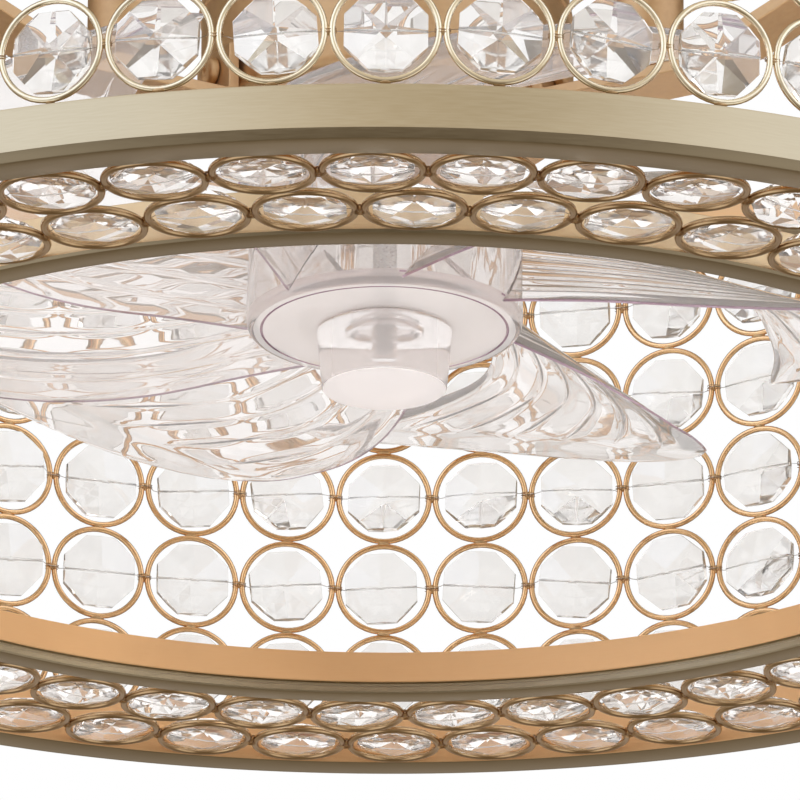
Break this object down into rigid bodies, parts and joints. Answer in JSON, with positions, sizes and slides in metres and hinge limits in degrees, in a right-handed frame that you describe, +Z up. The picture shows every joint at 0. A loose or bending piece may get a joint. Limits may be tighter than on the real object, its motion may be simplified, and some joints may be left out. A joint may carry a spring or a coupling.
{
  "type": "ceiling fan",
  "caption": "Flush ceiling fan: a clear bladed impeller inside a round drum of wire rings that hold faceted glass beads, hung from a ceiling canopy.",
  "frame": {"origin": "centre of the ceiling bracket's top face, on the ceiling plane", "axes": "+Z up through the ceiling, along the fan's spin axis; -Y towards the viewer of the picture"},
  "size_m": [0.5, 0.5, 0.24],
  "materials": {
    "champagne_metal": "satin champagne gold plating with a fine brushed sheen",
    "ring_wire": "smooth plated round wire, warm champagne gold",
    "gold_paint": "satin gold paint",
    "faceted_glass": "clear cut glass, polished facets",
    "clear_acrylic": "clear moulded acrylic, glossy",
    "zinc_steel": "bright zinc-plated steel",
    "dark_steel": "varnished laminated steel",
    "copper_wire": "enamelled copper wire",
    "white_plastic": "matt moulded",
    "lamp_glass": "clear capsule lamp with a warm filament body"
  },
  "bodies": {
    "frame": {"lower_outer_hoop": "champagne_metal", "inner_hoop": "champagne_metal", "upper_hoop": "champagne_metal", "ring_wall_panel_1": "ring_wire", "ring_wall_panel_2": "ring_wire", "ring_wall_panel_3": "ring_wire", "ring_wall_panel_4": "ring_wire", "ring_wall_panel_5": "ring_wire", "ring_wall_panel_6": "ring_wire", "ring_wall_panel_7": "ring_wire", "ring_wall_panel_8": "ring_wire", "wall_bead_strand_1": "faceted_glass", "wall_bead_strand_2": "faceted_glass", "wall_bead_strand_3": "faceted_glass", "wall_bead_strand_4": "faceted_glass", "wall_bead_strand_5": "faceted_glass", "bottom_outer_row_arc_1": "ring_wire", "bottom_outer_row_arc_2": "ring_wire", "bottom_outer_row_arc_3": "ring_wire", "bottom_outer_row_arc_4": "ring_wire", "bottom_inner_row_arc_1": "ring_wire", "bottom_inner_row_arc_2": "ring_wire", "bottom_outer_bead_strand": "faceted_glass", "bottom_inner_bead_strand": "faceted_glass", "cage_arm_1": "gold_paint", "arm_bolt_1": "zinc_steel", "lamp_cup_1": "gold_paint", "lamp_1": "lamp_glass", "cage_arm_2": "gold_paint", "arm_bolt_2": "zinc_steel", "lamp_cup_2": "gold_paint", "lamp_2": "lamp_glass", "cage_arm_3": "gold_paint", "arm_bolt_3": "zinc_steel", "lamp_cup_3": "gold_paint", "lamp_3": "lamp_glass", "motor_shell": "gold_paint", "motor_cover": "gold_paint", "stator_core": "dark_steel", "stator_winding": "copper_wire", "lower_bearing": "zinc_steel", "upper_bearing": "zinc_steel", "hanger_stem": "zinc_steel", "canopy": "champagne_metal", "ceiling_bracket": "zinc_steel", "canopy_stud_1": "zinc_steel", "canopy_nut_1": "champagne_metal", "canopy_stud_2": "zinc_steel", "canopy_nut_2": "champagne_metal", "receiver_box": "white_plastic", "terminal_block": "white_plastic"},
    "rotor": {"motor_rotor": "dark_steel", "motor_shaft": "zinc_steel", "drive_washer": "zinc_steel", "spinner_nut": "clear_acrylic", "impeller": "clear_acrylic"}
  },
  "joints": [
    {"name": "impeller_spin", "type": "hinge", "parent": "frame", "child": "rotor", "pos_m": [0, 0, -0.19], "axis": [0, 0, 1], "continuous": true}
  ]
}
